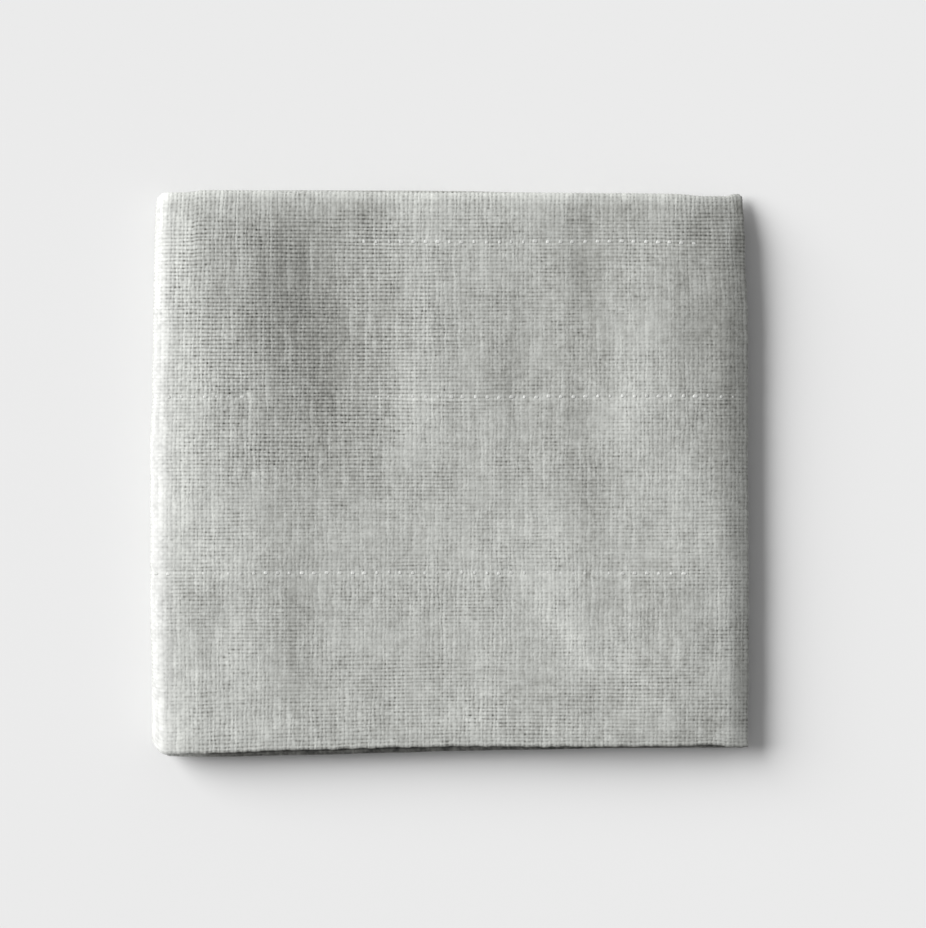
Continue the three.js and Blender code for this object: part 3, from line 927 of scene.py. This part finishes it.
def make_cloth():
    """The folded cloth as one closed thin sheet, with its weave's places on it."""
    flat = cut_cloth()
    i, j, off, out_way, out_section = np.array(flat.points).T
    places = on_cloth(i, j, off + yarn_relief(i, j, off), out_way, out_section)
    mesh = bpy.data.meshes.new("dishcloth_sheet")
    mesh.from_pydata(places.tolist(), [], flat.faces)
    add_weave_places(mesh, flat)
    add_looks(mesh, i, j, off, places)
    return added(mesh)


# The Mix node's sockets for colours
FIRST_COLOUR = 6
SECOND_COLOUR = 7
MIXED_COLOUR = 2


class Value:
    """One output of a finish's nodes. Python's operators on it add Math nodes."""

    def __init__(self, finish, socket):
        self.finish = finish
        self.socket = socket

    def __add__(self, other):
        return self.finish.math("ADD", self, other)

    def __radd__(self, other):
        return self.finish.math("ADD", other, self)

    def __sub__(self, other):
        return self.finish.math("SUBTRACT", self, other)

    def __rsub__(self, other):
        return self.finish.math("SUBTRACT", other, self)

    def __mul__(self, other):
        return self.finish.math("MULTIPLY", self, other)

    def __rmul__(self, other):
        return self.finish.math("MULTIPLY", other, self)

    def __pow__(self, other):
        return self.finish.math("POWER", self, other)

    def __abs__(self):
        return self.finish.math("ABSOLUTE", self)


class Finish:
    """One material's nodes, from its first one to its output."""

    def __init__(self, name):
        self.material = bpy.data.materials.new(name)
        self.material.use_nodes = True
        self.tree = self.material.node_tree
        self.tree.nodes.clear()

    def node(self, kind, settings, sockets, output=0):
        """Adds a node: its settings first, then the values or links of its sockets."""
        made = self.tree.nodes.new(kind)
        for name, value in settings.items():
            setattr(made, name, value)
        for name, value in sockets.items():
            if isinstance(value, Value):
                self.tree.links.new(value.socket, made.inputs[name])
            else:
                made.inputs[name].default_value = value
        return Value(self, made.outputs[output]) if made.outputs else None

    def math(self, operation, *values):
        """A number worked out from others."""
        return self.node("ShaderNodeMath", {"operation": operation}, dict(enumerate(values)))

    def clamped(self, value):
        """A number kept between 0 and 1."""
        return self.node("ShaderNodeClamp", {}, {"Value": value, "Min": 0.0, "Max": 1.0})

    def noise(self, x, y, detail, roughness):
        """Noise about 0 over two places."""
        place = self.node("ShaderNodeCombineXYZ", {}, {"X": x, "Y": y, "Z": 0.0})
        sockets = {"Vector": place, "Scale": 1.0, "Detail": detail, "Roughness": roughness}
        return self.node("ShaderNodeTexNoise", {"noise_dimensions": "2D"}, sockets) - 0.5

    def mixed(self, first, second, share):
        """A colour between two, by a share from 0 to 1."""
        sockets = {"Factor": share, FIRST_COLOUR: first, SECOND_COLOUR: second}
        return self.node("ShaderNodeMix", {"data_type": "RGBA"}, sockets, MIXED_COLOUR)

    def attribute(self, name):
        """A number that the mesh's points carry."""
        return self.node("ShaderNodeAttribute", {"attribute_name": name}, {}, "Fac")

    def weave_place(self):
        """The place on the UV map of the weave, u and v."""
        place = self.node("ShaderNodeUVMap", {"uv_map": "Weave"}, {})
        return [self.node("ShaderNodeSeparateXYZ", {}, {"Vector": place}, axis) for axis in "XY"]

    def scaled(self, colour, shade):
        """A colour made lighter or darker."""
        return self.node("ShaderNodeVectorMath", {"operation": "SCALE"}, {0: colour, "Scale": shade})

    def bump(self, height, distance):
        """A surface that stands up by a height, as a share of a distance."""
        sockets = {"Height": height, "Distance": distance, "Strength": 1.0}
        return self.node("ShaderNodeBump", {}, sockets)

    def shine(self, colour, normal, roughness):
        """The surface and the output, which end the material."""
        sockets = {
            "Base Color": colour,
            "Roughness": roughness,
            "Specular IOR Level": CLOTH_SPECULAR,
            "Sheen Weight": CLOTH_SHEEN,
            "Sheen Roughness": SHEEN_ROUGHNESS,
            "Normal": normal,
        }
        surface = self.node("ShaderNodeBsdfPrincipled", {}, sockets)
        self.node("ShaderNodeOutputMaterial", {}, {"Surface": surface})
        return self.material


# The finishes' colours, and how they shine; the deep colour tints darker places, painted shade among
# them, and the lit colour goes with the painted light on the half fold
YARN_COLOUR = (0.4055, 0.413, 0.3935, 1.0)
DEEP_COLOUR = (0.411, 0.413, 0.3835, 1.0)
LIT_COLOUR = (0.411, 0.413, 0.403, 1.0)
THREAD_COLOUR = (0.515, 0.521, 0.503)
GAUZE_ROUGHNESS = 0.9
THREAD_ROUGHNESS = 0.75
CLOTH_SPECULAR = 0.15
CLOTH_SHEEN = 0.1
SHEEN_ROUGHNESS = 0.6

# The gauze's noises over places in yarns, u across the upright yarns and v across the level ones:
# rate along u and along v, shift along u, detail and roughness
GAUZE_NOISES = {
    "upright strays": (0.6, 0.16, 0.0, 1.0, 0.5),
    "short strays": (0.9, 0.4, 20.0, 0.0, 0.5),
    "level strays": (0.16, 0.6, 50.0, 1.0, 0.5),
    "patches": (0.085, 0.085, 0.0, 2.0, 0.6),
    "leads": (0.08, 0.08, 3.2, 2.0, 0.6),
    "upright yarns": (5.77, 0.06, 0.0, 1.0, 0.5),
    "level yarns": (0.06, 6.13, 0.0, 1.0, 0.5),
    "upright gaps": (7.31, 0.30, 0.0, 1.0, 0.5),
    "upright bits": (3.91, 0.90, 0.0, 0.0, 0.5),
    "level gaps": (0.25, 6.47, 0.0, 1.0, 0.5),
    "level bits": (0.80, 4.37, 0.0, 0.0, 0.5),
    "holes": (3.17, 5.03, 0.0, 0.0, 0.5),
    "stripes": (0.3, 0.03, 0.0, 1.0, 0.5),
    "mottle": (0.42, 0.38, 0.0, 2.0, 0.6),
    "fibres": (1.8, 1.8, 0.0, 1.0, 0.5),
    "clouds": (0.035, 0.035, 0.0, 2.0, 0.5),
}

# How far the yarns stray, in yarns
UPRIGHT_STRAY = 0.7
SHORT_STRAY = 0.25
LEVEL_STRAY = 0.4

# The weave is clearer or more blurred in patches and where it is open, but never below the least.
PATCH_CLEARNESS = 1.5
OPEN_CLEARNESS = 0.5
LEAST_CLEARNESS = 0.35

# The upright yarns lead in some places of their own too.
OWN_LEADS = 4.0

# Painted shade in the gaps beside the upright yarns, those beside the level ones and the holes between
# four yarns, where the shaded layer beneath shows: how dark they are at most, as shares of the yarns'
# colour
UPRIGHT_GAP = 0.15
LEVEL_GAP = 0.28
HOLE = 0.24

# How much of that shows: a mean, and what long noise, short noise and the lead add to it
UPRIGHT_GAP_SHOWN = (0.40, 1.6, 3.2, 0.6)
LEVEL_GAP_SHOWN = (0.52, 1.6, 1.2, -0.6)
HOLE_SHOWN = (0.5, 2.2)

# How far a yarn lies over those that cross it: a mean, and what its own change adds. It hides up to
# a share of their gaps there.
OVER = (0.4, 3.5)
OVER_HIDES = 0.5

# Shades, as shares of the yarns' colour
UPRIGHT_SHADE = 0.20
THICK_YARN_SHADE = 0.4
THICK_YARN_FROM = 0.08
OPEN_SHADE = 0.2
LEVEL_SHADE = 0.08
STRIPE_SHADE = 0.12
MOTTLE_SHADE = 0.46
FIBRE_SHADE = 0.11
CLOUD_SHADE = 0.14
# The tone attribute carries painted light and shade as well as tone.
TONE_AND_PAINTED_LIGHT_SHADE = 1.1
# Painted light and shade where the yarns cross: the yarn on top lighter, the one under it darker
PAINTED_CROSSING_SHADE = 0.05
DEEP_TINT = 1.6

# Light is painted on the half fold, and at its very edge the painted light washes out its weave.
PAINTED_FOLD_LIGHT = 0.26
FOLD_EDGE_SHADE = -0.05
FOLD_EDGE_SHARPNESS = 6.0
FOLD_EDGE_GAPS = 0.7
FOLD_EDGE_BUMP = 0.8

# The weave's relief: its depth, the rise of a yarn over another, how softly yarns meet, and what
# gaps, fibres and mottle add
YARN_BUMP = 0.00005
YARN_RISE = 0.38
YARN_SOFTNESS = 0.2
GAP_BUMP = 1.5
FIBRE_BUMP = 0.5
MOTTLE_BUMP = 0.8


def parity(index):
    """1 for an even number and -1 for an odd one."""
    return 1.0 - 4.0 * index.finish.math("FRACT", index * 0.5)


def gauze_noise(name, u, v):
    """One of the gauze's noises, from -0.5 to 0.5."""
    rate_u, rate_v, shift, detail, roughness = GAUZE_NOISES[name]
    return u.finish.noise(u * rate_u + shift, v * rate_v, detail, roughness)


class Weave:
    """The yarns at a place: their numbers, their waves, and how much they differ."""

    def __init__(self, f):
        u, v = f.weave_place()
        upright = UPRIGHT_STRAY * gauze_noise("upright strays", u, v)
        level = LEVEL_STRAY * gauze_noise("level strays", u, v)
        short = SHORT_STRAY * gauze_noise("short strays", u, v)
        self.u = u + upright + short
        self.v = v + level
        self.upright_yarn = f.math("FLOOR", self.u)
        self.level_yarn = f.math("FLOOR", self.v)
        self.sine_u = f.math("SINE", self.u * math.pi)
        self.sine_v = f.math("SINE", self.v * math.pi)
        self.upright_change = gauze_noise("upright yarns", self.upright_yarn, self.v)
        self.level_change = gauze_noise("level yarns", self.u, self.level_yarn)
        self.mottle = self.noise("mottle")
        self.fibres = self.noise("fibres")
        self.openness = f.attribute("openness")
        clear = 1.0 + PATCH_CLEARNESS * self.noise("patches") + OPEN_CLEARNESS * self.openness
        self.clear = f.math("MAXIMUM", clear, LEAST_CLEARNESS)
        self.lead = OWN_LEADS * self.noise("leads") + f.attribute("lead")

    def noise(self, name):
        """One of the gauze's noises at this place."""
        return gauze_noise(name, self.u, self.v)


def yarn_over(f, change, sine):
    """How far a yarn lies over those that cross it, from 0 to 1."""
    mean, share = OVER
    return f.clamped(mean + share * change) * sine * sine


def gap_shown(f, shown, long_noise, short_noise, lead):
    """How much of a gap shows, from 0 to 1."""
    mean, long_share, short_share, lead_share = shown
    amount = mean + long_share * long_noise + short_share * short_noise + lead_share * lead
    return f.clamped(amount)


def gauze_gaps(f, weave):
    """How much shade is painted in the gaps and the holes between the yarns."""
    u, v = weave.u, weave.v
    upright_gap = f.math("FLOOR", u + 0.5)
    level_gap = f.math("FLOOR", v + 0.5)
    between_upright = 1.0 - weave.sine_u * weave.sine_u
    between_level = 1.0 - weave.sine_v * weave.sine_v
    upright_over = yarn_over(f, weave.upright_change, weave.sine_u)
    level_over = yarn_over(f, weave.level_change, weave.sine_v)

    long_noise = gauze_noise("upright gaps", upright_gap, v)
    short_noise = gauze_noise("upright bits", upright_gap, v)
    upright_dark = gap_shown(f, UPRIGHT_GAP_SHOWN, long_noise, short_noise, weave.lead)
    upright_dark = upright_dark * (1.0 - OVER_HIDES * level_over)
    long_noise = gauze_noise("level gaps", u, level_gap)
    short_noise = gauze_noise("level bits", u, level_gap)
    level_dark = gap_shown(f, LEVEL_GAP_SHOWN, long_noise, short_noise, weave.lead)
    level_dark = level_dark * (1.0 - OVER_HIDES * upright_over)
    mean, share = HOLE_SHOWN
    hole_dark = f.clamped(mean + share * gauze_noise("holes", upright_gap, level_gap))

    gaps = UPRIGHT_GAP * upright_dark * between_upright * between_upright
    gaps = gaps + LEVEL_GAP * level_dark * between_level * between_level
    return (gaps + HOLE * hole_dark * between_upright * between_level) * weave.clear


def gauze_shade(f, weave):
    """How light the yarns are before their gaps, with the light and shade painted on the cloth and
    where the yarns cross.
    """
    thick = f.math("MAXIMUM", weave.upright_change - THICK_YARN_FROM, 0.0)
    upright = UPRIGHT_SHADE * weave.upright_change + THICK_YARN_SHADE * thick
    shade = 1.0 + upright * (1.0 + OPEN_SHADE * weave.openness)
    shade = shade + LEVEL_SHADE * weave.level_change + STRIPE_SHADE * weave.noise("stripes")
    shade = shade + MOTTLE_SHADE * weave.mottle + FIBRE_SHADE * weave.fibres
    shade = shade + CLOUD_SHADE * weave.noise("clouds") + TONE_AND_PAINTED_LIGHT_SHADE * f.attribute("tone_and_painted_light")
    return shade + PAINTED_CROSSING_SHADE * weave.sine_u * weave.sine_v * weave.clear


def gauze_height(f, weave, gaps):
    """The height of the yarns, which rise over and dip under each other in turn."""
    rise_u = YARN_RISE * parity(weave.upright_yarn) * weave.sine_v
    rise_v = YARN_RISE * parity(weave.level_yarn) * weave.sine_u
    upright = abs(weave.sine_u) + rise_u
    level = abs(weave.sine_v) - rise_v
    height = f.math("SMOOTH_MAX", upright, level, YARN_SOFTNESS) * weave.clear
    return height - GAP_BUMP * gaps + FIBRE_BUMP * weave.fibres + MOTTLE_BUMP * weave.mottle


def gauze_finish():
    """Uneven plain weave: light yarns with painted shade in the gaps and holes between them, in
    patches.
    """
    f = Finish("grey_gauze")
    weave = Weave(f)
    gaps = gauze_gaps(f, weave)
    # Painted light on the half fold, strongest at its very edge, which takes the lit colour
    half_fold_light = f.attribute("half_fold_light")
    lit_fold_edge = half_fold_light**FOLD_EDGE_SHARPNESS
    shade = gauze_shade(f, weave) * (1.0 - gaps * (1.0 - FOLD_EDGE_GAPS * lit_fold_edge))
    shade = shade * (1.0 + PAINTED_FOLD_LIGHT * half_fold_light + FOLD_EDGE_SHADE * lit_fold_edge)
    deep = f.clamped(DEEP_TINT - DEEP_TINT * shade)
    tint = f.mixed(f.mixed(YARN_COLOUR, DEEP_COLOUR, deep), LIT_COLOUR, lit_fold_edge)
    height = gauze_height(f, weave, gaps) * (1.0 - FOLD_EDGE_BUMP * lit_fold_edge)
    return f.shine(f.scaled(tint, shade), f.bump(height, YARN_BUMP), GAUZE_ROUGHNESS)


# The sewing thread: turns of its twist to a stitch, rate of its fibres, and how both show
TWIST_TURNS = 3.0
TWIST_SHADE = 0.03
THREAD_FIBRES = 9.0
THREAD_FIBRE_SHADE = 0.3
THREAD_SHADE = 0.98
THREAD_BUMP = 0.00001


def thread_finish():
    """White sewing thread with its twist."""
    f = Finish("white_thread")
    u, v = f.weave_place()
    twist = f.math("SINE", (u * TWIST_TURNS + v) * (2 * math.pi))
    fibres = f.noise(u * THREAD_FIBRES, v * THREAD_FIBRES, 2.0, 0.6)
    shade = THREAD_SHADE + TWIST_SHADE * twist + THREAD_FIBRE_SHADE * fibres + f.attribute("tone_and_painted_light")
    bump = f.bump(twist + fibres, THREAD_BUMP)
    return f.shine(f.scaled(THREAD_COLOUR, shade), bump, THREAD_ROUGHNESS)


# The quilting stitches: thread that comes up for a short length and goes down again
STITCH_PITCH = 0.00302
STITCH_LENGTH = 0.00185
STITCH_WIDTH = 0.00092
STITCH_HEIGHT = 0.00024
STITCH_LIFT = -0.00003
STITCH_SIDES = 6
STITCH_SPOTS = (-1.0, -0.75, -0.3, 0.3, 0.75, 1.0)
STITCH_FULLNESS = (0.25, 0.75, 1.0, 1.0, 0.75, 0.25)
STITCH_TONES = (-0.16, 0.14)

# How far the stitches stray along their row and across it, and how much their lengths differ
STITCH_STRAY = 0.00008
ROW_STRAY = 0.00006
STITCH_SIZES = (0.55, 1.12)

# Stitches sink into the cloth where a row is worn: how deep, over what length that changes, how
# worn each row is, and how much of the depth is chance
STITCH_SINK = 0.00006
SINK_REACH = 0.009
ROW_WEAR = (0.20, 0.45, 0.62)
WEAR_CHANGE = 1.4
WORN_FROM = -0.3
WORN_FULLY = 0.5
SINK_CHANCE = 0.25
NOISE_ROWS_APART = 3.0

# The seeds of the stitches' chances
PLACE_SEED = 31
SIZE_SEED = 32
WORN_SEED = 33
TONE_SEED = 34


def stitch_rows():
    """Middles of all stitches along the way and the section, and how deep each one has sunk."""
    chance = np.random.default_rng(PLACE_SEED)
    rows = []
    for row, (place, wear) in enumerate(zip(ROW_PLACES, ROW_WEAR)):
        way = np.arange(STITCH_PITCH, WAY_END - STITCH_PITCH / 2, STITCH_PITCH)
        way = way + chance.normal(0, STITCH_STRAY, len(way))
        section = np.full(len(way), place - FRONT_EDGE_Y) + chance.normal(0, ROW_STRAY, len(way))
        line = np.full(len(way), NOISE_ROWS_APART * row)
        noise = smooth_noise(way / SINK_REACH, line, WORN_SEED)
        worn = ramp(noise + WEAR_CHANGE * wear - 1, WORN_FROM, WORN_FULLY)
        sink = STITCH_SINK * (worn + SINK_CHANCE * chance.random(len(way)))
        sink = sink + ROW_SINK * (1 - row_shown(row, station_at(way)[0]))
        rows.append(np.stack([way, section, sink], axis=1))
    return np.concatenate(rows)


def stitch_points(rows):
    """Points of all stitches, each a row of rings that follow the cloth."""
    sizes = np.random.default_rng(SIZE_SEED).uniform(*STITCH_SIZES, len(rows))
    angles = np.arange(STITCH_SIDES) * 2 * math.pi / STITCH_SIDES
    spots = np.array(STITCH_SPOTS)[None, :, None]
    fullness = np.array(STITCH_FULLNESS)[None, :, None]
    way, section, sink = rows.T[:, :, None, None]
    along = way + sizes[:, None, None] * spots * STITCH_LENGTH / 2
    across = section + fullness * np.cos(angles) * STITCH_WIDTH / 2
    along, across = np.broadcast_arrays(along, across)
    arch = STITCH_LIFT * fullness - STITCH_WIDTH * (1 - fullness) / 2
    up = HALF_LAYER + arch + fullness * np.sin(angles) * STITCH_HEIGHT / 2 - sink
    i = np.interp(along, WAY_PLACES, np.arange(LAST_WAY + 1))
    j = np.interp(across, SECTION_PLACES, np.arange(LAST_SECTION + 1))
    return on_cloth(i, j, up, 0.0, 0.0).reshape(-1, 3)


def stitch_faces(start):
    """Faces of the stitch whose points begin at start, and the place of each of their corners."""
    spans = len(STITCH_SPOTS) - 1
    faces = []
    places = []
    for ring in range(spans):
        low = start + ring * STITCH_SIDES
        high = low + STITCH_SIDES
        u0, u1 = ring / spans, (ring + 1) / spans
        for side in range(STITCH_SIDES):
            after = (side + 1) % STITCH_SIDES
            v0, v1 = side / STITCH_SIDES, (side + 1) / STITCH_SIDES
            faces.append([low + side, low + after, high + after, high + side])
            places += [(u0, v0), (u0, v1), (u1, v1), (u1, v0)]
    first = list(range(start, start + STITCH_SIDES))
    last = [index + spans * STITCH_SIDES for index in first]
    faces += [first[::-1], last]
    places += [(0.0, 0.5)] * STITCH_SIDES + [(1.0, 0.5)] * STITCH_SIDES
    return faces, places


def make_stitches():
    """All stitches as one mesh of short closed bars."""
    rows = stitch_rows()
    count = len(STITCH_SPOTS) * STITCH_SIDES
    faces = []
    places = []
    for start in range(0, len(rows) * count, count):
        own_faces, own_places = stitch_faces(start)
        faces += own_faces
        places += own_places
    mesh = bpy.data.meshes.new("quilting_stitches")
    mesh.from_pydata(stitch_points(rows).tolist(), [], faces)
    add_uv(mesh, "Weave", *np.array(places).T)
    tones = np.random.default_rng(TONE_SEED).uniform(*STITCH_TONES, len(rows))
    add_number(mesh, "tone_and_painted_light", np.repeat(tones, count))
    return added(mesh)


def centre_on_solid(pieces):
    """Moves the pieces' points along X and Y so that the cloth's box has the solid's middle there."""
    lowest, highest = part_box(CLOTH_NODE)
    places = np.empty(len(pieces[0].data.vertices) * 3, np.float32)
    pieces[0].data.vertices.foreach_get("co", places)
    places = places.reshape(-1, 3)
    middle = (places.min(axis=0) + places.max(axis=0)) / 2
    shift = [(lowest[k] + highest[k]) / 2 - middle[k] for k in range(2)]
    for piece in pieces:
        own = np.empty(len(piece.data.vertices) * 3, np.float32)
        piece.data.vertices.foreach_get("co", own)
        own = own.reshape(-1, 3)
        own[:, :2] += shift
        piece.data.vertices.foreach_set("co", own.ravel())
        piece.data.update()


# The floor, the light and the camera
FLOOR_SIZE = 12.0
FLOOR_DROP = 0.0002
FLOOR_COLOUR = (0.70, 0.70, 0.70, 1.0)
SUN_STRENGTH = 5.33
SUN_ELEVATION = math.radians(30.3)
SUN_AZIMUTH = math.radians(22.5)
SUN_SPREAD = math.radians(46)
SKY_STRENGTH = 0.33
CAMERA_DISTANCE = 1.4
CAMERA_REACH = 100.0
CAMERA_X = 0.0033
CAMERA_Y = 0.0023
FRAME_HEIGHT = 0.2280
SENSOR = 36.0


def make_floor():
    """The plain pale floor."""
    bpy.ops.mesh.primitive_plane_add(size=FLOOR_SIZE, location=(0, 0, -FLOOR_DROP))
    floor = bpy.context.object
    floor.name = "floor"
    f = Finish("pale_floor")
    surface = f.node("ShaderNodeBsdfDiffuse", {}, {"Color": FLOOR_COLOUR})
    f.node("ShaderNodeOutputMaterial", {}, {"Surface": surface})
    floor.data.materials.append(f.material)


def make_window_light():
    """A wide, soft light from the left (-X), turned a little towards the back."""
    light = bpy.data.lights.new("window", "SUN")
    light.energy = SUN_STRENGTH
    light.angle = SUN_SPREAD
    lamp = bpy.data.objects.new("window", light)
    lamp.rotation_euler = (0, math.pi / 2 - SUN_ELEVATION, math.pi - SUN_AZIMUTH)
    bpy.context.scene.collection.objects.link(lamp)


def make_sky():
    """Even white light from all round."""
    world = bpy.data.worlds.new("studio")
    world.use_nodes = True
    background = world.node_tree.nodes["Background"]
    background.inputs["Color"].default_value = (1.0, 1.0, 1.0, 1.0)
    background.inputs["Strength"].default_value = SKY_STRENGTH
    bpy.context.scene.world = world


def make_camera():
    """The photo's camera, straight above with a long lens."""
    data = bpy.data.cameras.new("camera")
    data.sensor_width = SENSOR
    data.lens = SENSOR * CAMERA_DISTANCE / FRAME_HEIGHT
    data.clip_end = CAMERA_REACH
    camera = bpy.data.objects.new("camera", data)
    camera.location = (CAMERA_X, CAMERA_Y, HEIGHT + CAMERA_DISTANCE)
    bpy.context.scene.collection.objects.link(camera)
    bpy.context.scene.camera = camera


cloth = make_cloth()
cloth.data.materials.append(gauze_finish())
stitches = make_stitches()
stitches.data.materials.append(thread_finish())
centre_on_solid([cloth, stitches])
for piece in (cloth, stitches):
    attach(piece, "root")
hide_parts(CLOTH_NODE)

make_floor()
make_sky()
make_window_light()
make_camera()
bpy.context.scene.view_settings.view_transform = "Standard"
